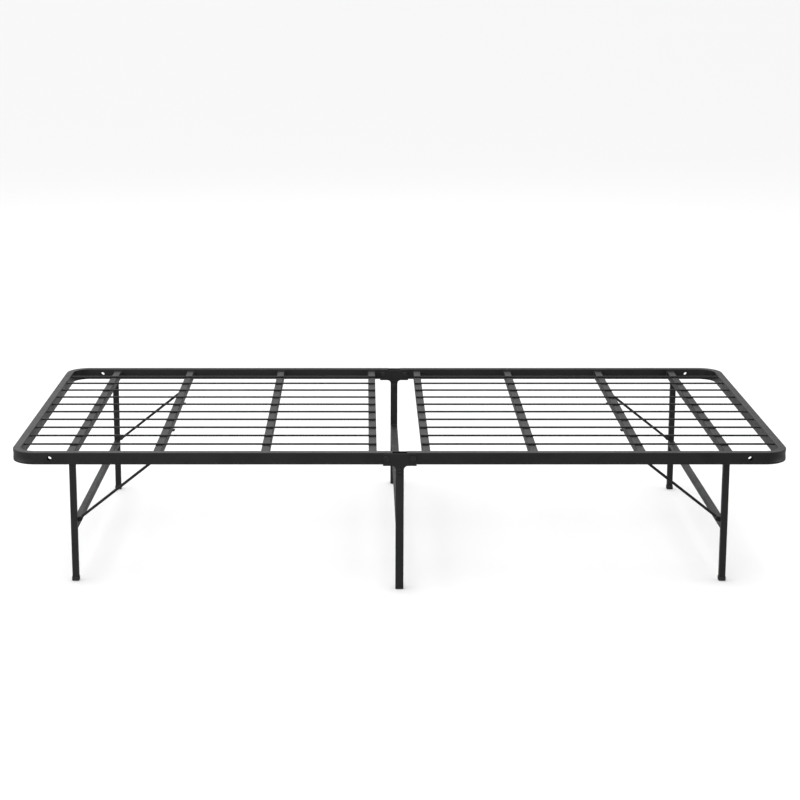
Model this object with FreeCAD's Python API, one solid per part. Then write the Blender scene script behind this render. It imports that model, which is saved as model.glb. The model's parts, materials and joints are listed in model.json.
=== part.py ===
"""Folding metal bed frame, twin size.

Two half frames, head and foot, each a bent rail with cross bars and support wires, turn
upwards on rivets in two hinge brackets, which stand on the centre legs.  The end legs fold
inwards under each half and are propped by a wire stay.

Millimetres.  X runs along the bed, head at -X.  Y runs across it, the left side at -Y.
Z is up.  The origin is on the floor under the middle of the frame.
"""
import FreeCAD, Part
import math
import os

os.makedirs("parts", exist_ok=True)

V = FreeCAD.Vector
X_AXIS = V(1, 0, 0)
Y_AXIS = V(0, 1, 0)
Z_AXIS = V(0, 0, 1)
ORIGIN = V(0, 0, 0)

# ------------------------------------------------------------------ driving dimensions
LENGTH = 1905.0             # overall, over the end rails
WIDTH = 990.0               # overall, over the rivet heads
HEIGHT = 348.0              # floor to the top of the rails

WALL = 1.2                  # wall of every tube
TUBE_EDGE_R = 2.0           # rounding of a tube's long edges

RAIL_TALL = 30.0            # rail tube, upright side
RAIL_DEEP = 20.0            # rail tube, level side
RAIL_CORNER_R = 62.0        # outside radius of the rail's two bends
RAIL_SINK = 2.3             # how far the outer wall sinks in at the middle of a bend
RAIL_SINK_R = 30.0          # hollow of the sunk wall, seen in the cross section
RAIL_SINK_SHORT = 1.2       # moves the hollow in, so that it fades out before the bend's ends

SHEET = 2.5                 # sheet of the brackets
PLAY = 0.3                  # side play between parts that move past each other
PIVOT_PLAY = 0.05           # radial play of a pin in its hole
HEAD_TALL = 2.2             # height of a rivet or bolt head on the outside
HEAD_DOME = 0.6             # share of a head's height that is rounded over
SOCKET_DEEP = 0.7           # share of a bolt head's height that its socket takes up
NUT_TURNED = 0.6            # share of a nut's corner that is turned off

HINGE_X = 33.0              # fold pivots, each side of the middle
HINGE_HALF_LENGTH = 41.0    # hinge bracket, half its length
HINGE_RIVET_R = 4.0
HINGE_HEAD_R = 7.0
HINGE_WEB_GAP = 0.5         # between a rail and the web that it rests over
HINGE_BELOW_TOP = 2.0       # top of the rail to top of a side plate
HINGE_CORNER_R = 4.0        # upper corners of a side plate
FOLD_ROUND = 0.9            # outer radius of a folded edge, as a share of the sheet

BAR = 20.0                  # cross bars, square tube
BAR_BELOW_TOP = 7.0         # top of the rail to top of a cross bar
FOLD_BAR_X = 66.0
MID_BAR_X = 331.0
HOOK_BAR_X = 596.0
LEG_X = 809.5               # end legs and the bar that they hang from

WIRE_D = 5.0                # support wires
WIRE_COUNT = 10
WIRE_SPACING = 86.0

LEG = 16.0                  # end legs, square tube
LEG_Y = 418.0
LEG_PIVOT_Z = 308.0
LEG_ABOVE_PIVOT = 6.0
LEG_CROSSBAR_Z = 140.0
LEG_BOLT_R = 3.0
LEG_BOLT_HEAD_R = 6.0
LEG_BOLT_HEAD_TALL = 3.5
LEG_BOLT_SOCKET = 4.0       # across flats
LEG_NUT_FLATS = 10.0
LEG_NUT_TALL = 5.0
LEG_BOLT_PROUD = 2.0        # bolt past its nut
EAR_R = 7.0                 # rounded lower end of a leg bracket's ears

CENTRE_LEG = 20.0           # centre legs, square tube
CENTRE_CROSSBAR_Z = 170.0
CENTRE_BOLT_Z = 302.0
CENTRE_BOLT_R = 4.0
CENTRE_BOLT_SOCKET = 5.0
CENTRE_NUT_FLATS = 13.0
CENTRE_NUT_TALL = 6.5
CENTRE_BOLT_PROUD = 2.5

STAY_D = 7.0                # wire stay
STAY_Y = 394.0              # its arms
STAY_PIVOT_IN = 13.0        # lower pivot, inboard of the leg's middle line
STAY_PIVOT_Z = 156.5
STAY_TOP_R = 20.0           # bend at the top of an arm
STAY_FOOT_R = 8.0           # bend at the foot of an arm
STAY_PIN = 15.5             # arm to the end of the pin
LUG_THICK = 4.0
LUG_PAST_ARM = 12.0         # middle line of an arm to middle of its lug
LUG_R = 6.0
LUG_FOOT = 10.0             # its length along the top of the crossbar
HOOK_WIDTH = 20.0
HOOK_Y = 150.0
HOOK_GAP = 0.4              # round the stay wire
HOOK_LIP = 14.0             # flat of the hook that is welded under its bar

ACCESSORY_X = 854.5         # holes for a headboard or footboard
ACCESSORY_R = 5.5

CAP_WALL = 1.25             # sleeve of an end leg's foot cap
CAP_TALL = 10.0
CAP_BASE = 3.0
CAP_ROUND = 2.6
PLUG_FIT = 0.1              # plug to tube, each side
PLUG_SHORT = 1.0            # rail plug to the fold rivet
CENTRE_CAP_BASE = 3.0
CENTRE_CAP_PLUG = 14.0

PAST = 1.0                  # how far a cutting shape reaches past what it cuts
NEAR = 0.01                 # tolerance for picking out edges and faces

# ------------------------------------------------------------------ worked-out places
RAIL_Z = HEIGHT - RAIL_TALL / 2
RAIL_FACE_Y = WIDTH / 2 - HEAD_TALL - SHEET - PLAY
RAIL_Y = RAIL_FACE_Y - RAIL_DEEP / 2
RAIL_INNER_Y = RAIL_FACE_Y - RAIL_DEEP
RAIL_END_X = LENGTH / 2 - RAIL_DEEP / 2
BEND_R = RAIL_CORNER_R - RAIL_DEEP / 2
BEND_X = RAIL_END_X - BEND_R
BEND_Y = RAIL_Y - BEND_R
RAIL_BOTTOM = HEIGHT - RAIL_TALL
STUB_R = RAIL_TALL / 2

BAR_TOP = HEIGHT - BAR_BELOW_TOP
BAR_BOTTOM = BAR_TOP - BAR

WEB_TOP = RAIL_BOTTOM - HINGE_WEB_GAP
WEB_BOTTOM = WEB_TOP - SHEET
PLATE_TOP = HEIGHT - HINGE_BELOW_TOP
TAB_R = CENTRE_LEG / 2

HOOK_INNER_R = STAY_D / 2 + HOOK_GAP
STAY_TOP_Z = BAR_BOTTOM - SHEET - HOOK_INNER_R
STAY_PIVOT_X = LEG_X - STAY_PIVOT_IN


# ------------------------------------------------------------------ small tools
def box(x, y, z):
    """A box between two values on each axis."""
    return Part.makeBox(x[1] - x[0], y[1] - y[0], z[1] - z[0], V(x[0], y[0], z[0]))


def centred(middle, size):
    """Low and high value of a span about its middle."""
    return (middle - size / 2, middle + size / 2)


def rounded_box(x, y, z, axis, radius):
    """A box with its four edges along one axis rounded."""
    solid = box(x, y, z)
    edges = [e for e in solid.Edges if abs(e.tangentAt(e.FirstParameter).dot(axis)) > 1 - NEAR]
    return solid.makeFillet(radius, edges)


def square_tube(x, y, z, axis):
    """A tube along one axis, open at both ends."""
    spans = []
    for span, direction in ((x, X_AXIS), (y, Y_AXIS), (z, Z_AXIS)):
        inset = -PAST if direction == axis else WALL
        spans.append((span[0] + inset, span[1] - inset))
    outer = rounded_box(x, y, z, axis, TUBE_EDGE_R)
    return outer.cut(rounded_box(*spans, axis, TUBE_EDGE_R - WALL))


def rod(start, end, radius):
    """A round bar between two points."""
    run = end - start
    return Part.makeCylinder(radius, run.Length, start, run)


def across(x, z, radius):
    """A round bar right across the bed."""
    return rod(V(x, -WIDTH / 2, z), V(x, WIDTH / 2, z), radius)


def fuse(shapes):
    """One solid from touching shapes."""
    whole = shapes[0].multiFuse(shapes[1:])
    return whole.removeSplitter()


def mirror_y(shape):
    return shape.mirror(ORIGIN, Y_AXIS)


def mirror_x(shape):
    return shape.mirror(ORIGIN, X_AXIS)


def both_sides(shape):
    """The shape and its twin on the other side of the bed."""
    return [shape, mirror_y(shape)]


def hexagon(start, direction, across_flats, thick):
    """A hexagon prism across the bed, from start along its direction."""
    corner = across_flats / math.sqrt(3)
    angles = [math.radians(60 * k) for k in range(7)]
    points = [V(corner * math.cos(a), 0, corner * math.sin(a)) for a in angles]
    prism = Part.Face(Part.makePolygon(points)).extrude(direction * thick)
    prism.translate(start)
    return prism


def hexagon_nut(start, direction, across_flats, thick, bore):
    """A hexagon nut with its corners turned off, its inner face at start."""
    corner = across_flats / math.sqrt(3)
    chamfer = corner - across_flats / 2
    end = start + direction * thick
    outer_r = corner - chamfer * NUT_TURNED
    turned = Part.makeCone(outer_r + thick, outer_r, thick, start, direction)
    nut = hexagon(start, direction, across_flats, thick).common(turned)
    return nut.cut(rod(start - direction, end + direction, bore))


def headed_pin(centre, head_y, tip_y, shank_r, head_r, head_tall, socket=0.0):
    """A pin across the bed with a softly domed head on its seat at head_y.

    A bolt's head has a hexagon socket, given across its flats.
    """
    out = 1 if head_y > tip_y else -1
    head = rod(V(centre.x, head_y, centre.z), V(centre.x, head_y + out * head_tall, centre.z), head_r)
    rim = [e for e in head.Edges if e.BoundBox.YLength < NEAR
           and abs(e.CenterOfMass.y - head_y - out * head_tall) < NEAR]
    head = head.makeFillet(head_tall * HEAD_DOME, rim)
    shank = rod(V(centre.x, head_y, centre.z), V(centre.x, tip_y, centre.z), shank_r)
    pin = fuse([head, shank])
    if socket:
        deep = head_tall * SOCKET_DEEP
        start = V(centre.x, head_y + out * (head_tall - deep), centre.z)
        pin = pin.cut(hexagon(start, Y_AXIS * out, socket, head_tall))
    return pin


# ------------------------------------------------------------------ rail
def rail_section(inset):
    """The rail's cross section as a face, drawn across X on the left side."""
    half_y = RAIL_DEEP / 2 - inset
    half_z = RAIL_TALL / 2 - inset
    radius = TUBE_EDGE_R - inset
    solid = rounded_box((0, RAIL_DEEP), centred(-RAIL_Y, 2 * half_y), centred(RAIL_Z, 2 * half_z),
                        X_AXIS, radius)
    ends = [f for f in solid.Faces if abs(f.CenterOfMass.x - RAIL_DEEP) < NEAR]
    section = ends[0].copy()
    section.translate(V(-RAIL_DEEP, 0, 0))
    return section


def bend_hollow(inset):
    """Ring that presses the outer wall of the left bend in, deepest half way round."""
    ring_offset = RAIL_SINK / (1 - math.sqrt(0.5)) + RAIL_SINK_SHORT
    lowest = RAIL_CORNER_R - RAIL_SINK + ring_offset
    diagonal = V(math.sqrt(0.5), -math.sqrt(0.5), 0)
    centre = V(BEND_X, -BEND_Y, RAIL_Z) - diagonal * ring_offset
    return Part.makeTorus(lowest + RAIL_SINK_R, RAIL_SINK_R + inset, centre, Z_AXIS)


def rail_bar(inset, start_x):
    """Solid that follows the rail: side, bend, end, bend, side."""
    section = rail_section(inset)
    section.translate(V(start_x, 0, 0))
    side = section.extrude(V(BEND_X - start_x, 0, 0))
    section.translate(V(BEND_X - start_x, 0, 0))
    pivot = V(BEND_X, -BEND_Y, 0)
    bend = section.revolve(pivot, Z_AXIS, 90).cut(bend_hollow(inset))
    section.rotate(pivot, Z_AXIS, 90)
    end = section.extrude(V(0, 2 * BEND_Y, 0))
    return fuse([side, bend, end, mirror_y(bend), mirror_y(side)])


def rail():
    """Bent tube of one half, with its rounded inner ends, pivot holes and accessory holes."""
    start_x = HINGE_X - STUB_R
    tube = rail_bar(0.0, start_x).cut(rail_bar(WALL, start_x - PAST))
    square_corner = box((start_x - PAST, HINGE_X), centred(0, WIDTH), (RAIL_BOTTOM - PAST, RAIL_Z))
    tube = tube.cut(square_corner.cut(across(HINGE_X, RAIL_Z, STUB_R)))
    tube = tube.cut(across(HINGE_X, RAIL_Z, HINGE_RIVET_R + PIVOT_PLAY))
    return tube.cut(across(ACCESSORY_X, RAIL_Z, ACCESSORY_R))


def rail_plug():
    """Plastic plug that closes one rounded end of the rail."""
    inset = WALL + PLUG_FIT
    start_x = HINGE_X - STUB_R
    span_y = centred(-RAIL_Y, RAIL_DEEP - 2 * inset)
    block = rounded_box((start_x, HINGE_X - HINGE_RIVET_R - PLUG_SHORT), span_y,
                        centred(RAIL_Z, RAIL_TALL - 2 * inset), X_AXIS, TUBE_EDGE_R - WALL)
    square_corner = box((start_x - PAST, HINGE_X), span_y, (RAIL_BOTTOM, RAIL_Z))
    return block.cut(square_corner.cut(across(HINGE_X, RAIL_Z, STUB_R)))


# ------------------------------------------------------------------ support surface
def cross_bar(middle_x):
    """Square tube across the half frame, welded between its rails."""
    return square_tube(centred(middle_x, BAR), (-RAIL_INNER_Y, RAIL_INNER_Y), (BAR_BOTTOM, BAR_TOP), Y_AXIS)


def support_wires():
    """Lengthways wires, welded on top of the cross bars and to the end rail."""
    first_y = -WIRE_SPACING * (WIRE_COUNT - 1) / 2
    start_x = FOLD_BAR_X - BAR / 2
    end_x = LENGTH / 2 - RAIL_DEEP
    wire_z = BAR_TOP + WIRE_D / 2
    wires = []
    for index in range(WIRE_COUNT):
        wire_y = first_y + index * WIRE_SPACING
        wires.append(rod(V(start_x, wire_y, wire_z), V(end_x, wire_y, wire_z), WIRE_D / 2))
    return wires


# ------------------------------------------------------------------ end legs
def leg_bracket():
    """Inverted U of sheet, welded under the leg bar, that carries one leg."""
    gap = LEG + 2 * PLAY
    outside = gap + 2 * SHEET
    top = box(centred(LEG_X, 2 * EAR_R), centred(-LEG_Y, outside), (BAR_BOTTOM - SHEET, BAR_BOTTOM))
    pieces = [top]
    for side in (-1, 1):
        ear_y = -LEG_Y + side * (gap + SHEET) / 2
        span_y = centred(ear_y, SHEET)
        ear = box(centred(LEG_X, 2 * EAR_R), span_y, (LEG_PIVOT_Z, BAR_BOTTOM - SHEET))
        round_end = rod(V(LEG_X, span_y[0], LEG_PIVOT_Z), V(LEG_X, span_y[1], LEG_PIVOT_Z), EAR_R)
        pieces += [ear, round_end]
    bolt_line = rod(V(LEG_X, -LEG_Y - outside, LEG_PIVOT_Z), V(LEG_X, -LEG_Y + outside, LEG_PIVOT_Z),
                    LEG_BOLT_R)
    return fuse(pieces).cut(bolt_line)


def leg_bolt():
    """Pivot bolt of one end leg, its head towards the outside."""
    reach = LEG / 2 + PLAY + SHEET
    tip = -LEG_Y + reach + LEG_NUT_TALL + LEG_BOLT_PROUD
    return headed_pin(V(LEG_X, 0, LEG_PIVOT_Z), -LEG_Y - reach, tip, LEG_BOLT_R,
                      LEG_BOLT_HEAD_R, LEG_BOLT_HEAD_TALL, LEG_BOLT_SOCKET)


def leg_nut():
    """Nut of the pivot bolt, on the inside of the leg bracket."""
    reach = LEG / 2 + PLAY + SHEET
    return hexagon_nut(V(LEG_X, -LEG_Y + reach, LEG_PIVOT_Z), Y_AXIS, LEG_NUT_FLATS, LEG_NUT_TALL,
                       LEG_BOLT_R)


def end_leg():
    """Upright tube of the end leg frame, drilled for its pivot bolt."""
    tube = square_tube(centred(LEG_X, LEG), centred(-LEG_Y, LEG),
                       (CAP_BASE, LEG_PIVOT_Z + LEG_ABOVE_PIVOT), Z_AXIS)
    bolt_line = rod(V(LEG_X, -LEG_Y - LEG, LEG_PIVOT_Z), V(LEG_X, -LEG_Y + LEG, LEG_PIVOT_Z),
                    LEG_BOLT_R + PIVOT_PLAY)
    return tube.cut(bolt_line)


def leg_crossbar():
    """Tube that joins the two end legs of one half."""
    reach = LEG_Y - LEG / 2
    return square_tube(centred(LEG_X, LEG), (-reach, reach), centred(LEG_CROSSBAR_Z, LEG), Y_AXIS)


def end_foot_cap():
    """Plastic cap that sleeves over the foot of an end leg."""
    outside = LEG + 2 * CAP_WALL
    block = rounded_box(centred(LEG_X, outside), centred(-LEG_Y, outside), (0, CAP_TALL), Z_AXIS,
                        TUBE_EDGE_R + CAP_WALL)
    base_edges = [e for e in block.Edges if e.BoundBox.ZMax < NEAR]
    block = block.makeFillet(CAP_ROUND, base_edges)
    return block.cut(rounded_box(centred(LEG_X, LEG), centred(-LEG_Y, LEG), (CAP_BASE, CAP_TALL + PAST),
                                 Z_AXIS, TUBE_EDGE_R))


# ------------------------------------------------------------------ stays
def bent_rod(corners, radii, radius):
    """A round bar along a line of corners, each rounded with its own bend radius."""
    edges = []
    start = corners[0]
    for before, corner, after, bend in zip(corners, corners[1:], corners[2:], radii):
        back = (before - corner).normalize()
        ahead = (after - corner).normalize()
        half_turn = back.getAngle(ahead) / 2
        cut = bend / math.tan(half_turn)
        into = corner + back * cut
        out_of = corner + ahead * cut
        bisector = (back + ahead).normalize()
        middle = corner + bisector * (bend / math.sin(half_turn) - bend)
        edges.append(Part.LineSegment(start, into).toShape())
        edges.append(Part.Arc(into, middle, out_of).toShape())
        start = out_of
    edges.append(Part.LineSegment(start, corners[-1]).toShape())
    path = Part.Wire(edges)
    ring = Part.Wire(Part.makeCircle(radius, corners[0], corners[1] - corners[0]))
    return path.makePipeShell([ring], True, True)


def stay():
    """Wire bail that props the leg frame: pins in the lugs, top wire in the hooks."""
    left = [V(STAY_PIVOT_X, -STAY_Y - STAY_PIN, STAY_PIVOT_Z), V(STAY_PIVOT_X, -STAY_Y, STAY_PIVOT_Z),
            V(HOOK_BAR_X, -STAY_Y, STAY_TOP_Z)]
    right = [V(corner.x, -corner.y, corner.z) for corner in reversed(left)]
    return bent_rod(left + right, [STAY_FOOT_R, STAY_TOP_R, STAY_TOP_R, STAY_FOOT_R], STAY_D / 2)


def stay_lug():
    """Small plate on top of the leg crossbar that holds one pin of the stay."""
    span_y = centred(-STAY_Y - LUG_PAST_ARM, LUG_THICK)
    foot_x = LEG_X - LEG / 2 + TUBE_EDGE_R
    foot_z = LEG_CROSSBAR_Z + LEG / 2
    eye = V(STAY_PIVOT_X, span_y[0], STAY_PIVOT_Z)
    lean = (eye - V(foot_x + LUG_FOOT / 2, span_y[0], foot_z)).normalize()
    half_wide = V(lean.z, 0, -lean.x) * LUG_R
    corners = [V(foot_x, span_y[0], foot_z), V(foot_x + LUG_FOOT, span_y[0], foot_z),
               eye + half_wide, eye - half_wide]
    thick = V(0, LUG_THICK, 0)
    neck = Part.Face(Part.makePolygon(corners + corners[:1])).extrude(thick)
    plate = fuse([neck, rod(eye, eye + thick, LUG_R)])
    return plate.cut(rod(eye - thick, eye + thick * 2, STAY_D / 2 + PIVOT_PLAY))


def stay_hook():
    """Half-round hook of sheet under the hook bar, open towards the middle of the bed."""
    span_y = centred(-HOOK_Y, HOOK_WIDTH)
    axis_start = V(HOOK_BAR_X, span_y[0], STAY_TOP_Z)
    axis_end = V(HOOK_BAR_X, span_y[1], STAY_TOP_Z)
    outer_r = HOOK_INNER_R + SHEET
    ring = rod(axis_start, axis_end, outer_r).cut(rod(axis_start, axis_end, HOOK_INNER_R))
    ring = ring.common(box((HOOK_BAR_X, HOOK_BAR_X + outer_r), span_y, centred(STAY_TOP_Z, 2 * outer_r)))
    flat = box((HOOK_BAR_X - HOOK_LIP, HOOK_BAR_X), span_y, (BAR_BOTTOM - SHEET, BAR_BOTTOM))
    return fuse([flat, ring])


# ------------------------------------------------------------------ centre support
def hinge_plate(span_y):
    """Side plate of a hinge bracket, with the tab that clamps the centre leg."""
    fillet = TAB_R
    corner = HINGE_CORNER_R
    half = HINGE_HALF_LENGTH
    sweep = math.sqrt(0.5)
    tab_top = WEB_BOTTOM - fillet

    def point(x, z):
        return V(x, span_y[0], z)

    edges = [
        Part.LineSegment(point(-half, WEB_BOTTOM), point(-TAB_R - fillet, WEB_BOTTOM)).toShape(),
        Part.Arc(point(-TAB_R - fillet, WEB_BOTTOM),
                 point(-TAB_R - fillet * (1 - sweep), WEB_BOTTOM - fillet * (1 - sweep)),
                 point(-TAB_R, tab_top)).toShape(),
        Part.LineSegment(point(-TAB_R, tab_top), point(-TAB_R, CENTRE_BOLT_Z)).toShape(),
        Part.Arc(point(-TAB_R, CENTRE_BOLT_Z), point(0, CENTRE_BOLT_Z - TAB_R),
                 point(TAB_R, CENTRE_BOLT_Z)).toShape(),
        Part.LineSegment(point(TAB_R, CENTRE_BOLT_Z), point(TAB_R, tab_top)).toShape(),
        Part.Arc(point(TAB_R, tab_top),
                 point(TAB_R + fillet * (1 - sweep), WEB_BOTTOM - fillet * (1 - sweep)),
                 point(TAB_R + fillet, WEB_BOTTOM)).toShape(),
        Part.LineSegment(point(TAB_R + fillet, WEB_BOTTOM), point(half, WEB_BOTTOM)).toShape(),
        Part.LineSegment(point(half, WEB_BOTTOM), point(half, PLATE_TOP - corner)).toShape(),
        Part.Arc(point(half, PLATE_TOP - corner),
                 point(half - corner * (1 - sweep), PLATE_TOP - corner * (1 - sweep)),
                 point(half - corner, PLATE_TOP)).toShape(),
        Part.LineSegment(point(half - corner, PLATE_TOP), point(-half + corner, PLATE_TOP)).toShape(),
        Part.Arc(point(-half + corner, PLATE_TOP),
                 point(-half + corner * (1 - sweep), PLATE_TOP - corner * (1 - sweep)),
                 point(-half, PLATE_TOP - corner)).toShape(),
        Part.LineSegment(point(-half, PLATE_TOP - corner), point(-half, WEB_BOTTOM)).toShape(),
    ]
    return Part.Face(Part.Wire(edges)).extrude(V(0, span_y[1] - span_y[0], 0))


def hinge_bracket():
    """Channel of sheet round the inner ends of the left rails; its web stops them level."""
    gap = RAIL_DEEP + 2 * PLAY
    outside = gap + 2 * SHEET
    outer_y = -RAIL_Y - outside / 2
    inner_y = -RAIL_Y + outside / 2
    plates = [hinge_plate((outer_y, outer_y + SHEET)), hinge_plate((inner_y - SHEET, inner_y))]
    web = box(centred(0, 2 * HINGE_HALF_LENGTH), (outer_y, inner_y), (WEB_BOTTOM, WEB_TOP))
    bracket = fuse(plates + [web])
    folds = [e for e in bracket.Edges if abs(e.CenterOfMass.z - WEB_BOTTOM) < NEAR
             and e.BoundBox.YLength < NEAR and e.BoundBox.XLength > SHEET
             and min(abs(e.CenterOfMass.y - outer_y), abs(e.CenterOfMass.y - inner_y)) < NEAR]
    bracket = bracket.makeFillet(SHEET * FOLD_ROUND, folds)
    reach = V(0, outside, 0)
    for hole_x, hole_z, radius in ((-HINGE_X, RAIL_Z, HINGE_RIVET_R), (HINGE_X, RAIL_Z, HINGE_RIVET_R),
                                   (0, CENTRE_BOLT_Z, CENTRE_BOLT_R)):
        middle = V(hole_x, -RAIL_Y, hole_z)
        bracket = bracket.cut(rod(middle - reach, middle + reach, radius))
    return bracket


def hinge_rivet(at_x):
    """Fold pivot: a shouldered rivet through the bracket and the rail, a head at each end."""
    reach = RAIL_DEEP / 2 + PLAY + SHEET
    outer = headed_pin(V(at_x, 0, RAIL_Z), -RAIL_Y - reach, -RAIL_Y, HINGE_RIVET_R, HINGE_HEAD_R, HEAD_TALL)
    inner = headed_pin(V(at_x, 0, RAIL_Z), -RAIL_Y + reach, -RAIL_Y, HINGE_RIVET_R, HINGE_HEAD_R, HEAD_TALL)
    return fuse([outer, inner])


def centre_leg():
    """Upright tube bolted between the hinge bracket's tabs, its top against the web."""
    tube = square_tube(centred(0, CENTRE_LEG), centred(-RAIL_Y, CENTRE_LEG),
                       (CENTRE_CAP_BASE, WEB_BOTTOM), Z_AXIS)
    reach = V(0, CENTRE_LEG, 0)
    middle = V(0, -RAIL_Y, CENTRE_BOLT_Z)
    return tube.cut(rod(middle - reach, middle + reach, CENTRE_BOLT_R))


def centre_crossbar():
    """Tube that joins the two centre legs."""
    reach = RAIL_Y - CENTRE_LEG / 2
    return square_tube(centred(0, CENTRE_LEG), (-reach, reach), centred(CENTRE_CROSSBAR_Z, CENTRE_LEG), Y_AXIS)


def centre_foot_cap():
    """Plastic plug in the foot of a centre leg, its base flush with the tube."""
    base = rounded_box(centred(0, CENTRE_LEG), centred(-RAIL_Y, CENTRE_LEG), (0, CENTRE_CAP_BASE),
                       Z_AXIS, TUBE_EDGE_R)
    inside = CENTRE_LEG - 2 * (WALL + PLUG_FIT)
    plug = rounded_box(centred(0, inside), centred(-RAIL_Y, inside),
                       (CENTRE_CAP_BASE, CENTRE_CAP_BASE + CENTRE_CAP_PLUG), Z_AXIS, TUBE_EDGE_R - WALL)
    return fuse([base, plug])


def centre_bolt():
    """Bolt that clamps a centre leg between the tabs."""
    reach = RAIL_DEEP / 2 + PLAY + SHEET
    tip = -RAIL_Y + reach + CENTRE_NUT_TALL + CENTRE_BOLT_PROUD
    return headed_pin(V(0, 0, CENTRE_BOLT_Z), -RAIL_Y - reach, tip, CENTRE_BOLT_R,
                      HINGE_HEAD_R, HEAD_TALL, CENTRE_BOLT_SOCKET)


def centre_nut():
    """Nut of the centre leg's bolt, on the inside of the tabs."""
    reach = RAIL_DEEP / 2 + PLAY + SHEET
    return hexagon_nut(V(0, -RAIL_Y + reach, CENTRE_BOLT_Z), Y_AXIS, CENTRE_NUT_FLATS, CENTRE_NUT_TALL,
                       CENTRE_BOLT_R)


# ------------------------------------------------------------------ the nodes
def half_frame_nodes():
    """Every node of the foot half, by its name without the half's prefix."""
    nodes = {
        "rail": [rail()],
        "rail_plugs": both_sides(rail_plug()),
        "fold_bar": [cross_bar(FOLD_BAR_X)],
        "middle_bar": [cross_bar(MID_BAR_X)],
        "hook_bar": [cross_bar(HOOK_BAR_X)],
        "leg_bar": [cross_bar(LEG_X)],
        "support_wires": support_wires(),
        "stay_hooks": both_sides(stay_hook()),
        "leg_brackets": both_sides(leg_bracket()),
        "leg_bolts": both_sides(leg_bolt()),
        "leg_nuts": both_sides(leg_nut()),
        "leg_left": [end_leg()],
        "leg_right": [mirror_y(end_leg())],
        "leg_crossbar": [leg_crossbar()],
        "leg_caps": both_sides(end_foot_cap()),
        "stay_lugs": both_sides(stay_lug()),
        "stay": [stay()],
    }
    return nodes


def centre_nodes():
    """Every node of the centre support."""
    rivets = [hinge_rivet(-HINGE_X), hinge_rivet(HINGE_X)]
    nodes = {
        "hinge_bracket_left": [hinge_bracket()],
        "hinge_bracket_right": [mirror_y(hinge_bracket())],
        "hinge_rivets": rivets + [mirror_y(rivet) for rivet in rivets],
        "centre_leg_left": [centre_leg()],
        "centre_leg_right": [mirror_y(centre_leg())],
        "centre_leg_crossbar": [centre_crossbar()],
        "centre_foot_caps": both_sides(centre_foot_cap()),
        "centre_leg_bolts": both_sides(centre_bolt()),
        "centre_leg_nuts": both_sides(centre_nut()),
    }
    return nodes


def write_node(name, solids):
    """Save one node; a node of several solids is saved as a compound."""
    for solid in solids:
        if not solid.isValid():
            raise ValueError(name + " has an invalid solid")
    shape = solids[0] if len(solids) == 1 else Part.makeCompound(solids)
    shape.exportStep(os.path.join("parts", name + ".step"))
    box_of = shape.BoundBox
    print("%-24s %2d solids  x %7.1f..%7.1f  y %7.1f..%7.1f  z %6.1f..%6.1f  volume %9.0f" % (
        name, len(shape.Solids), box_of.XMin, box_of.XMax, box_of.YMin, box_of.YMax,
        box_of.ZMin, box_of.ZMax, shape.Volume))


for node, solids in half_frame_nodes().items():
    write_node("foot_" + node, solids)
    write_node("head_" + node, [mirror_x(solid) for solid in solids])
for node, solids in centre_nodes().items():
    write_node(node, solids)
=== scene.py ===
"""Looks for the folding metal bed frame: powder coat, plastic, fasteners and weld beads.

Metres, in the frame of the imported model: +X to the foot end, +Y to the right side, +Z up.
"""

import json
import math
import random

import bmesh
import bpy
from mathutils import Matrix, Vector

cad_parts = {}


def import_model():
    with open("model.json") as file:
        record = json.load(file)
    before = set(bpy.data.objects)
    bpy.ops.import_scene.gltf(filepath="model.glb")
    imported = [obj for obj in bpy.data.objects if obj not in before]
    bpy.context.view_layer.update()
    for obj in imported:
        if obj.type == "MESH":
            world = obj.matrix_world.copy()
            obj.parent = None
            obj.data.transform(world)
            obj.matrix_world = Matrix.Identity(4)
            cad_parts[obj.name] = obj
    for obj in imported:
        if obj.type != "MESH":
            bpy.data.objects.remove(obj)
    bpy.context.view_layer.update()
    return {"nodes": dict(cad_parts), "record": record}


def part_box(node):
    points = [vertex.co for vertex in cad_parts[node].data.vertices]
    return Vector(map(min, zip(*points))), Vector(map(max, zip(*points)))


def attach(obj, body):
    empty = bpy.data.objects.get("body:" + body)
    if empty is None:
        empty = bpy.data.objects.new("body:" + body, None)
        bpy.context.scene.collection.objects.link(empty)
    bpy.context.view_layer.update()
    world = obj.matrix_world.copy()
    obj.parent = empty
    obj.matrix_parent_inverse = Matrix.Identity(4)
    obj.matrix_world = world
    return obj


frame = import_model()
nodes = frame["nodes"]
scene = bpy.context.scene

X = Vector((1, 0, 0))
Y = Vector((0, 1, 0))
Z = Vector((0, 0, 1))
MM = 0.001

# ------------------------------------------------------------------ look
COAT_COLOUR = (0.0065, 0.0065, 0.0068, 1)
# lighter grey of the coat: random mottle and grain, worn thin edges with a painted edge highlight, and
# painted light on the legs
COAT_WEAR_AND_HIGHLIGHT = (0.024, 0.024, 0.025, 1)
PLASTIC_COLOUR = (0.010, 0.010, 0.0105, 1)
PLASTIC_SCUFFED = (0.045, 0.044, 0.043, 1)
STEEL_COLOUR = (0.022, 0.022, 0.023, 1)
STEEL_BRIGHT = (0.085, 0.085, 0.088, 1)
FLOOR_COLOUR = (0.75, 0.75, 0.75, 1)
FLOOR_BOUNCE = (0.36, 0.36, 0.36, 1)
PEEL_DEPTH = 0.11 * MM
GRAIN_DEPTH = 0.02 * MM


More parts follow.
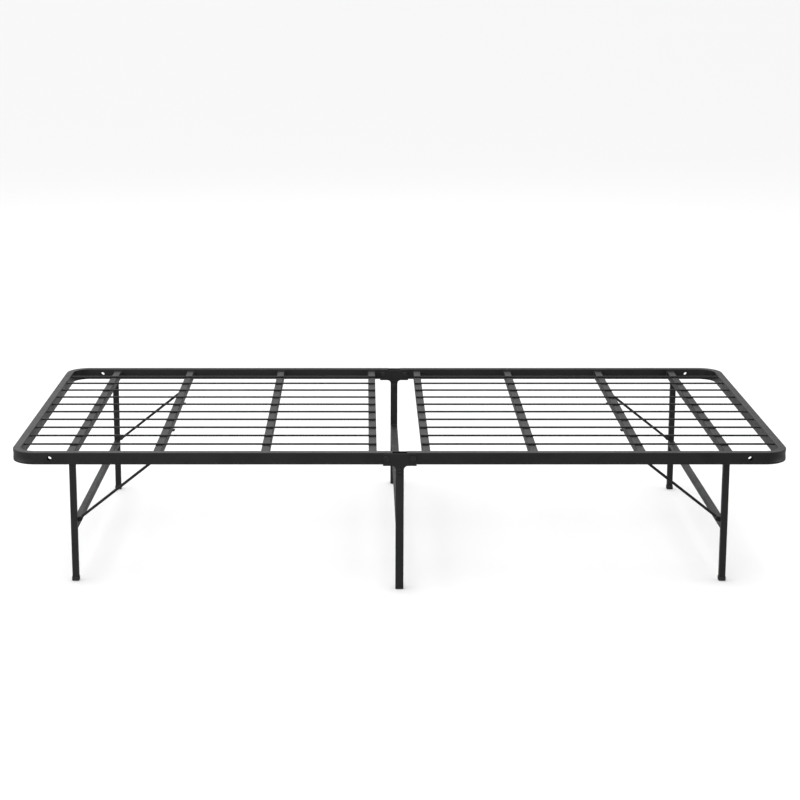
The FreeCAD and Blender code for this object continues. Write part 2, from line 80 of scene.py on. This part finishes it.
# ------------------------------------------------------------------ materials
class Nodes:
    """A material's node tree, with short calls for the nodes used here."""

    def __init__(self, name):
        self.material = bpy.data.materials.new(name)
        self.material.use_nodes = True
        self.tree = self.material.node_tree
        self.shader = self.tree.nodes["Principled BSDF"]
        self.place = self.tree.nodes.new("ShaderNodeTexCoord").outputs["Object"]

    def new(self, kind, **inputs):
        node = self.tree.nodes.new(kind)
        for key, value in inputs.items():
            self.feed(node.inputs[key.replace("_", " ")], value)
        return node

    def feed(self, socket, value):
        if isinstance(value, bpy.types.NodeSocket):
            self.tree.links.new(value, socket)
        else:
            socket.default_value = value

    def noise(self, scale, detail=2.0, rough=0.5, vector=None):
        node = self.new("ShaderNodeTexNoise", Scale=scale, Detail=detail, Roughness=rough)
        self.feed(node.inputs["Vector"], vector or self.place)
        return node.outputs["Fac"]

    def stretched(self, scale):
        """Coordinates stretched along some axes, for streaks."""
        node = self.new("ShaderNodeMapping", Scale=scale)
        self.feed(node.inputs["Vector"], self.place)
        return node.outputs["Vector"]

    def remap(self, value, low, high, to_low=0.0, to_high=1.0):
        node = self.new("ShaderNodeMapRange")
        node.interpolation_type = "SMOOTHSTEP"
        for key, number in (("From Min", low), ("From Max", high), ("To Min", to_low), ("To Max", to_high)):
            node.inputs[key].default_value = number
        self.feed(node.inputs["Value"], value)
        return node.outputs["Result"]

    def maths(self, operation, a, b):
        node = self.new("ShaderNodeMath")
        node.operation = operation
        self.feed(node.inputs[0], a)
        self.feed(node.inputs[1], b)
        return node.outputs["Value"]

    def mix(self, share, a, b):
        node = self.new("ShaderNodeMix")
        node.data_type = "RGBA"
        self.feed(node.inputs["Factor"], share)
        colour_inputs = [s for s in node.inputs if s.type == "RGBA"]
        self.feed(colour_inputs[0], a)
        self.feed(colour_inputs[1], b)
        return [s for s in node.outputs if s.type == "RGBA"][0]

    def edges(self, radius):
        """Nearly 1 on outside and inside edges, 0 on flats."""
        bevel = self.new("ShaderNodeBevel", Radius=radius)
        bevel.samples = 4
        geometry = self.new("ShaderNodeNewGeometry")
        dot = self.new("ShaderNodeVectorMath")
        dot.operation = "DOT_PRODUCT"
        self.feed(dot.inputs[0], bevel.outputs["Normal"])
        self.feed(dot.inputs[1], geometry.outputs["Normal"])
        return self.remap(dot.outputs["Value"], 0.995, 0.86)

    def bump(self, *layers):
        """Bumps on top of each other: pairs of height and depth in metres."""
        normal = None
        for height, depth in layers:
            node = self.new("ShaderNodeBump", Strength=1.0, Distance=depth, Height=height)
            if normal:
                self.feed(node.inputs["Normal"], normal)
            normal = node.outputs["Normal"]
        self.feed(self.shader.inputs["Normal"], normal)


def powder_coat(name, peel=1.0, rough=0.45, lumps=0.0, pale=0.04):
    """Satin black powder coat: orange peel, faint mottle, thinner and shinier on edges, whose lighter
    colour is partly worn thin coat and partly a painted edge highlight.
    """
    n = Nodes(name)
    peel_height = n.noise(620.0, 3.0, 0.55)
    grain = n.noise(2600.0, 2.0, 0.6)
    mottle = n.noise(17.0, 4.0, 0.6)
    # patches of edge lightening: worn thin coat and a painted edge highlight
    wear_and_highlight_patches = n.remap(n.noise(85.0, 4.0, 0.65), 0.42, 0.66)
    edge = n.maths("MULTIPLY", n.edges(1.3 * MM), wear_and_highlight_patches)
    # pale lifts the whole colour range; raised above its default it is painted light, a lit copy of the
    # same coat
    share = n.maths("ADD", n.remap(mottle, 0.30, 0.72, pale - 0.04, pale + 0.20),
                    n.remap(grain, 0.54, 0.78, 0.0, 0.30))
    # colour: mottle and grain, plus edges lightened as worn coat and a painted edge highlight
    colour = n.mix(n.maths("ADD", share, n.maths("MULTIPLY", edge, 0.75)), COAT_COLOUR, COAT_WEAR_AND_HIGHLIGHT)
    n.feed(n.shader.inputs["Base Color"], colour)
    dull = n.maths("ADD", n.remap(mottle, 0.28, 0.74, rough - 0.07, rough + 0.08),
                   n.remap(grain, 0.35, 0.75, -0.03, 0.05))
    n.feed(n.shader.inputs["Roughness"], n.maths("SUBTRACT", dull, n.maths("MULTIPLY", edge, 0.10)))
    n.shader.inputs["Specular IOR Level"].default_value = 0.24
    n.shader.inputs["Coat Weight"].default_value = 0.02
    n.shader.inputs["Coat Roughness"].default_value = 0.22
    layers = [(peel_height, PEEL_DEPTH * peel), (grain, GRAIN_DEPTH)]
    if lumps:
        layers.append((n.noise(240.0, 3.0, 0.6), lumps))
    n.bump(*layers)
    return n.material


def moulded_plastic(name):
    """Matte black plastic with a spark-eroded grain, scuffed grey where it meets the floor."""
    n = Nodes(name)
    grain = n.noise(1900.0, 3.0, 0.6)
    flow = n.noise(40.0, 3.0, 0.5, n.stretched((1.0, 1.0, 0.25)))
    scuffs = n.remap(n.noise(520.0, 5.0, 0.75, n.stretched((1.0, 1.0, 0.3))), 0.50, 0.68)
    height = n.new("ShaderNodeSeparateXYZ", Vector=n.place).outputs["Z"]
    low = n.maths("MULTIPLY", n.remap(height, 6.0 * MM, 0.5 * MM), scuffs)
    share = n.maths("ADD", n.remap(flow, 0.3, 0.7, 0.0, 0.12), n.maths("MULTIPLY", low, 0.7))
    n.feed(n.shader.inputs["Base Color"], n.mix(share, PLASTIC_COLOUR, PLASTIC_SCUFFED))
    n.feed(n.shader.inputs["Roughness"], n.maths("ADD", n.remap(grain, 0.3, 0.7, 0.52, 0.66),
                                                 n.maths("MULTIPLY", low, 0.12)))
    n.shader.inputs["Specular IOR Level"].default_value = 0.42
    n.bump((grain, 0.03 * MM), (flow, 0.04 * MM))
    return n.material


def dark_steel(name):
    """Dark plated steel: turned lines, worn bright on its edges."""
    n = Nodes(name)
    lines = n.noise(1500.0, 3.0, 0.7, n.stretched((1.0, 0.08, 1.0)))
    cloud = n.noise(160.0, 4.0, 0.6)
    edge = n.maths("MULTIPLY", n.edges(0.6 * MM), n.remap(cloud, 0.36, 0.60))
    share = n.maths("ADD", n.remap(cloud, 0.35, 0.7, 0.0, 0.30), n.maths("MULTIPLY", edge, 0.65))
    n.feed(n.shader.inputs["Base Color"], n.mix(share, STEEL_COLOUR, STEEL_BRIGHT))
    n.shader.inputs["Metallic"].default_value = 0.85
    n.feed(n.shader.inputs["Roughness"], n.maths("ADD", n.remap(lines, 0.3, 0.7, 0.30, 0.46),
                                                 n.remap(cloud, 0.3, 0.7, -0.04, 0.08)))
    n.bump((lines, 0.02 * MM), (cloud, 0.03 * MM))
    return n.material


LOOKS = {
    "rail_paint": powder_coat("rail_coat", peel=1.0, rough=0.44),
    "bar_paint": powder_coat("bar_coat", peel=1.1, rough=0.48),
    "wire_paint": powder_coat("wire_coat", peel=0.8, rough=0.44, lumps=0.10 * MM),
    # the legs' coat is the same black as the rest; pale=0.26 is painted light, standing for light falling
    # on the legs
    "leg_paint": powder_coat("leg_coat", peel=1.0, rough=0.47, pale=0.26),
    "bracket_paint": powder_coat("bracket_coat", peel=1.2, rough=0.46),
    "black_plastic": moulded_plastic("cap_plastic"),
    "dark_fasteners": dark_steel("fastener_steel"),
}
weld_look = powder_coat("weld_coat", peel=1.3, rough=0.36, lumps=0.12 * MM)

for part in frame["record"]["subparts"]:
    for used in nodes[part["node"]].material_slots:
        used.material = LOOKS[part["material_slot"]]


# ------------------------------------------------------------------ weld beads
RIPPLE = 1.5 * MM            # from one ripple of a bead to the next
STATION = 0.3 * MM           # from one row of points to the next
PROFILE = 9                  # points across a bead
BEAD_SUNK = 0.25 * MM        # how far a bead's rims reach into the metal
CORNER_STEPS = 6             # pieces of the quarter turn at a tube's corner
END_START = 0.1 * MM         # a bead's end doesn't narrow to nothing
END_LENGTH = 0.8             # the narrowing end of a bead; this and the next four are shares of its size
BULGE = 0.10                 # outward crown
RIPPLE_HEIGHT = 0.11         # height of the ripples on the crown
FLATTEN = 0.30               # how much flatter than a quarter circle the bead is
UNEVEN = 0.05                # slow swelling and thinning along the seam


def ripple(phase):
    """Height of the overlapping ripples, a steep front and a long back."""
    along = phase % 1.0
    return math.sin(math.pi * along ** 0.6)


def bead_points(stations, closed, size, seed):
    """Rows of points of one bead.  A station is a point on the seam and the two ways its sides lie."""
    dice = random.Random(seed)
    wander = [dice.uniform(-1, 1) for _ in range(7)]
    count = len(stations)
    rows = []
    for index, (point, side_a, side_b) in enumerate(stations):
        along = index * STATION
        swell = 1.0 + UNEVEN * sum(w * math.sin(2 * math.pi * index * (k + 1) / count + 5 * w)
                                   for k, w in enumerate(wander))
        if not closed:
            to_end = min(index, count - 1 - index) * STATION
            swell *= math.sqrt(min(1.0, (to_end + END_START) / (size * END_LENGTH)))
        row = []
        for k in range(PROFILE):
            angle = math.pi / 2 * k / (PROFILE - 1)
            crown = math.sin(2 * angle)
            height = ripple(along / RIPPLE - 0.45 * crown)
            shape = 1.0 + (BULGE + RIPPLE_HEIGHT * height) * crown - FLATTEN * crown * crown
            reach = size * swell * shape
            row.append(point + (side_a * math.cos(angle) + side_b * math.sin(angle)) * reach)
        row[0] = row[0] - side_b * BEAD_SUNK
        row[-1] = row[-1] - side_a * BEAD_SUNK
        rows.append(row)
    return rows


def add_rows(mesh, rows, closed):
    """Skin the rows of points.  An open bead has a face across each end."""
    verts = [[mesh.verts.new(p) for p in row] for row in rows]
    pairs = list(zip(verts, verts[1:]))
    if closed:
        pairs.append((verts[-1], verts[0]))
    for row, following in pairs:
        for k in range(len(row) - 1):
            mesh.faces.new((row[k], row[k + 1], following[k + 1], following[k]))
    if not closed:
        mesh.faces.new(verts[0])
        mesh.faces.new(list(reversed(verts[-1])))


def line_bead(mesh, start, end, side_a, side_b, size):
    """A straight bead from start to end in the corner between two faces."""
    run = end - start
    count = max(4, round(run.length / STATION))
    stations = [(start + run * (k / count), side_a, side_b) for k in range(count + 1)]
    seed = round(1e4 * (start.x + 3 * start.y + 7 * start.z))
    add_rows(mesh, bead_points(stations, False, size, seed), False)


def ring_bead(mesh, centre, half_u, half_v, way_u, way_v, outward, corner, size):
    """A bead all round the end of a square tube, where it meets a flat face."""
    outline = []
    for su, sv, turn in ((1, 1, 0), (-1, 1, 90), (-1, -1, 180), (1, -1, 270)):
        middle = centre + way_u * (su * (half_u - corner)) + way_v * (sv * (half_v - corner))
        for step in range(CORNER_STEPS + 1):
            angle = math.radians(turn + 90 / CORNER_STEPS * step)
            away = way_u * math.cos(angle) + way_v * math.sin(angle)
            outline.append((middle + away * corner, away))
    stations = []
    for (point, away), (ahead, away_ahead) in zip(outline, outline[1:] + outline[:1]):
        run = ahead - point
        count = max(1, round(run.length / STATION))
        for k in range(count):
            share = k / count
            stations.append((point + run * share, away.lerp(away_ahead, share).normalized(), outward))
    seed = round(1e4 * (centre.x + 3 * centre.y + 7 * centre.z))
    add_rows(mesh, bead_points(stations, True, size, seed), True)


def nugget(mesh, centre, radii, seed):
    """A small lump of weld metal, uneven all over."""
    dice = random.Random(seed)
    lean = [dice.uniform(0, 2 * math.pi) for _ in range(3)]
    made = bmesh.ops.create_icosphere(mesh, subdivisions=3, radius=1.0)
    for vert in made["verts"]:
        p = vert.co.copy()
        swell = 1.0 + 0.07 * math.sin(4 * p.x + lean[0]) + 0.06 * math.sin(5 * p.y + lean[1])
        swell += 0.05 * math.sin(6 * p.z + lean[2])
        vert.co = centre + Vector((p.x * radii[0], p.y * radii[1], p.z * radii[2])) * swell


def finish_piece(mesh, name, body):
    """Turn a bmesh of weld metal into a piece that rides on a body."""
    bmesh.ops.recalc_face_normals(mesh, faces=mesh.faces)
    data = bpy.data.meshes.new(name)
    mesh.to_mesh(data)
    mesh.free()
    for polygon in data.polygons:
        polygon.use_smooth = True
    piece = bpy.data.objects.new(name, data)
    scene.collection.objects.link(piece)
    data.materials.append(weld_look)
    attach(piece, body)


BARS = ("fold_bar", "middle_bar", "hook_bar", "leg_bar")
WIRES = 10
WIRE_R = 2.5 * MM
TUBE_CORNER = 2.0 * MM
CORNER_CLEAR = 1.5 * MM      # a bead stops short of a rounded corner
HOOK_END_CLEAR = 0.5 * MM    # and of the middle of the hook bar
LUG_END_CLEAR = 0.3 * MM     # and of the outer end of a lug's foot
HOOK_WIDTH = 20.0 * MM
LUG_FOOT = 10.0 * MM
LUG_THICK = 4.0 * MM
TUBE_WELD = 2.6 * MM
CENTRE_WELD = 2.8 * MM
SHEET_WELD = 2.0 * MM
LUG_WELD = 1.7 * MM
CROSSING_NUGGET = (5.2 * MM, 3.5 * MM, 1.5 * MM)
CROSSING_HEIGHT = 0.2 * MM   # middle of a nugget above the top of its bar
END_NUGGET = (1.9 * MM, 3.7 * MM, 3.5 * MM)
END_INSET = 0.6 * MM         # middle of a nugget before the end of its wire


def bar_end_beads(mesh, half):
    """Beads all round both ends of each cross bar, against the rail."""
    for bar in BARS:
        low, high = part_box(half + "_" + bar)
        centre = (low + high) / 2
        for side in (-1, 1):
            end = Vector((centre.x, side * high.y, centre.z))
            ring_bead(mesh, end, (high.x - low.x) / 2, (high.z - low.z) / 2, X, Z, Y * -side,
                      TUBE_CORNER, TUBE_WELD)


def bracket_beads(mesh, half):
    """Beads along both edges of each leg bracket, under the leg bar."""
    leg_low, leg_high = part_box(half + "_leg_left")
    seam_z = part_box(half + "_leg_bar")[0].z
    bracket_low, bracket_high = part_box(half + "_leg_brackets")
    leg_y = (leg_low.y + leg_high.y) / 2
    half_wide = leg_y - bracket_low.y
    for side in (-1, 1):
        for across in (-1, 1):
            at_x = bracket_high.x if across > 0 else bracket_low.x
            start = Vector((at_x, side * abs(leg_y) - half_wide + CORNER_CLEAR, seam_z))
            end = Vector((at_x, side * abs(leg_y) + half_wide - CORNER_CLEAR, seam_z))
            line_bead(mesh, start, end, X * across, -Z, SHEET_WELD)


def hook_beads(mesh, half, toward_end):
    """Beads along both sides of each hook's flat, under the hook bar."""
    outer_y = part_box(half + "_stay_hooks")[1].y
    bar_low, bar_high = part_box(half + "_hook_bar")
    bar_x = (bar_low.x + bar_high.x) / 2
    inner_x = bar_low.x if toward_end > 0 else bar_high.x
    for side in (-1, 1):
        for edge_y, away in ((outer_y, Y * side), (outer_y - HOOK_WIDTH, Y * -side)):
            start = Vector((inner_x + toward_end * CORNER_CLEAR, side * edge_y, bar_low.z))
            end = Vector((bar_x - toward_end * HOOK_END_CLEAR, side * edge_y, bar_low.z))
            line_bead(mesh, start, end, away, -Z, SHEET_WELD)


def wire_nuggets(mesh, half, toward_end):
    """Weld metal where each wire crosses a bar and where it meets the end rail."""
    wire_low, wire_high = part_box(half + "_support_wires")
    reach = wire_high.y - wire_low.y - 2 * WIRE_R
    rows = [wire_low.y + WIRE_R + k / (WIRES - 1) * reach for k in range(WIRES)]
    for bar in BARS:
        low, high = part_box(half + "_" + bar)
        centre = (low + high) / 2
        for k, wire_y in enumerate(rows):
            seat = Vector((centre.x, wire_y, high.z + CROSSING_HEIGHT))
            nugget(mesh, seat, CROSSING_NUGGET, 17 * k + round(1e3 * centre.x))
    end_x = wire_high.x if toward_end > 0 else wire_low.x
    for k, wire_y in enumerate(rows):
        seat = Vector((end_x - toward_end * END_INSET, wire_y, (wire_low.z + wire_high.z) / 2))
        nugget(mesh, seat, END_NUGGET, 31 * k + 5)


def crossbar_beads(mesh, node, size):
    """Beads on top of and under both ends of a leg crossbar."""
    low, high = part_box(node)
    for side in (-1, 1):
        for top in (-1, 1):
            seam_z = high.z if top > 0 else low.z
            start = Vector((low.x + CORNER_CLEAR, side * high.y, seam_z))
            end = Vector((high.x - CORNER_CLEAR, side * high.y, seam_z))
            line_bead(mesh, start, end, Z * top, Y * -side, size)


def lug_beads(mesh, half, toward_end):
    """Beads along both faces of each stay lug, on top of the leg crossbar."""
    cross_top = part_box(half + "_leg_crossbar")[1].z
    low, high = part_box(half + "_stay_lugs")
    foot_end = high.x if toward_end > 0 else low.x
    foot_start = foot_end - toward_end * LUG_FOOT
    for side in (-1, 1):
        for lug_y, away in ((high.y, Y * side), (high.y - LUG_THICK, Y * -side)):
            start = Vector((foot_start, side * lug_y, cross_top))
            end = Vector((foot_end - toward_end * LUG_END_CLEAR, side * lug_y, cross_top))
            line_bead(mesh, start, end, Z, away, LUG_WELD)


for half, toward_end in (("head", -1), ("foot", 1)):
    bar_welds = bmesh.new()
    bar_end_beads(bar_welds, half)
    bracket_beads(bar_welds, half)
    hook_beads(bar_welds, half, toward_end)
    finish_piece(bar_welds, half + "_bar_welds", half + "_frame")

    wire_welds = bmesh.new()
    wire_nuggets(wire_welds, half, toward_end)
    finish_piece(wire_welds, half + "_wire_welds", half + "_frame")

    leg_welds = bmesh.new()
    crossbar_beads(leg_welds, half + "_leg_crossbar", TUBE_WELD)
    lug_beads(leg_welds, half, toward_end)
    finish_piece(leg_welds, half + "_leg_welds", half + "_leg_frame")

centre_welds = bmesh.new()
crossbar_beads(centre_welds, "centre_leg_crossbar", CENTRE_WELD)
finish_piece(centre_welds, "centre_welds", "centre_support")


# ------------------------------------------------------------------ stage
FLOOR_REACH = 200.0          # so far that its edge isn't seen
FLOOR_BELOW = 0.2 * MM       # under the feet, so that no faces coincide


def floor():
    """A pale floor that throws little light back up, so that undersides stay dark."""
    n = Nodes("floor_white")
    seen = n.new("ShaderNodeLightPath").outputs["Is Camera Ray"]
    n.feed(n.shader.inputs["Base Color"], n.mix(seen, FLOOR_BOUNCE, FLOOR_COLOUR))
    n.shader.inputs["Roughness"].default_value = 0.75
    n.shader.inputs["Specular IOR Level"].default_value = 0.2
    mesh = bmesh.new()
    outline = ((-FLOOR_REACH, -FLOOR_REACH), (FLOOR_REACH, -FLOOR_REACH), (FLOOR_REACH, FLOOR_REACH),
               (-FLOOR_REACH, FLOOR_REACH))
    mesh.faces.new([mesh.verts.new((x, y, 0)) for x, y in outline])
    data = bpy.data.meshes.new("floor")
    mesh.to_mesh(data)
    mesh.free()
    data.materials.append(n.material)
    ground = bpy.data.objects.new("floor", data)
    ground.location.z = -FLOOR_BELOW
    scene.collection.objects.link(ground)


def area_light(name, place, aim, size, watts):
    data = bpy.data.lights.new(name, "AREA")
    data.shape = "RECTANGLE"
    data.size, data.size_y = size
    data.energy = watts
    light = bpy.data.objects.new(name, data)
    light.location = place
    light.rotation_euler = (Vector(aim) - Vector(place)).to_track_quat("-Z", "Y").to_euler()
    scene.collection.objects.link(light)


def sun_light(way, angle, strength):
    """A very wide, soft light from above that lights the floor evenly to the horizon."""
    data = bpy.data.lights.new("softbox_sky", "SUN")
    data.angle = angle
    data.energy = strength
    light = bpy.data.objects.new("softbox_sky", data)
    light.rotation_euler = Vector(way).to_track_quat("-Z", "Y").to_euler()
    scene.collection.objects.link(light)


def world():
    """Nearly white to the camera, a softer grey to the object."""
    made = bpy.data.worlds.new("studio")
    scene.world = made
    made.use_nodes = True
    tree = made.node_tree
    background = tree.nodes["Background"]
    path = tree.nodes.new("ShaderNodeLightPath")
    strength = tree.nodes.new("ShaderNodeMapRange")
    strength.inputs["To Min"].default_value = 0.52
    strength.inputs["To Max"].default_value = 0.94
    background.inputs["Color"].default_value = (1, 1, 1, 1)
    tree.links.new(path.outputs["Is Camera Ray"], strength.inputs["Value"])
    tree.links.new(strength.outputs["Result"], background.inputs["Strength"])


floor()
world()
sun_light((0.18, -0.30, -1.0), math.radians(100), 2.40)
area_light("key_overhead", (-0.6, -0.8, 3.2), (0, 0, 0.2), (4.0, 3.0), 24)
area_light("front_softbox", (-2.0, -6.5, 1.9), (0, 0, 0.2), (4.0, 2.4), 130)
area_light("rear_softbox", (-1.0, 5.0, 4.6), (0, 0, 0.2), (5.0, 1.6), 60)
for end in (-1, 1):
    area_light("side_softbox", (end * 5.2, -0.6, 1.5), (0, 0, 0.25), (3.0, 2.0), 60)

CAMERA_TILT = math.radians(11.73)    # down from level
camera_data = bpy.data.cameras.new("camera")
camera_data.sensor_width = 36.0
camera_data.lens = 85.4
camera_data.shift_x = 0.0429
camera_data.shift_y = -0.06
camera = bpy.data.objects.new("camera", camera_data)
camera.location = (-0.0833, -4.9635, 1.5275)
camera.rotation_euler = (math.pi / 2 - CAMERA_TILT, 0, 0)
scene.collection.objects.link(camera)
scene.camera = camera
scene.view_settings.view_transform = "Standard"
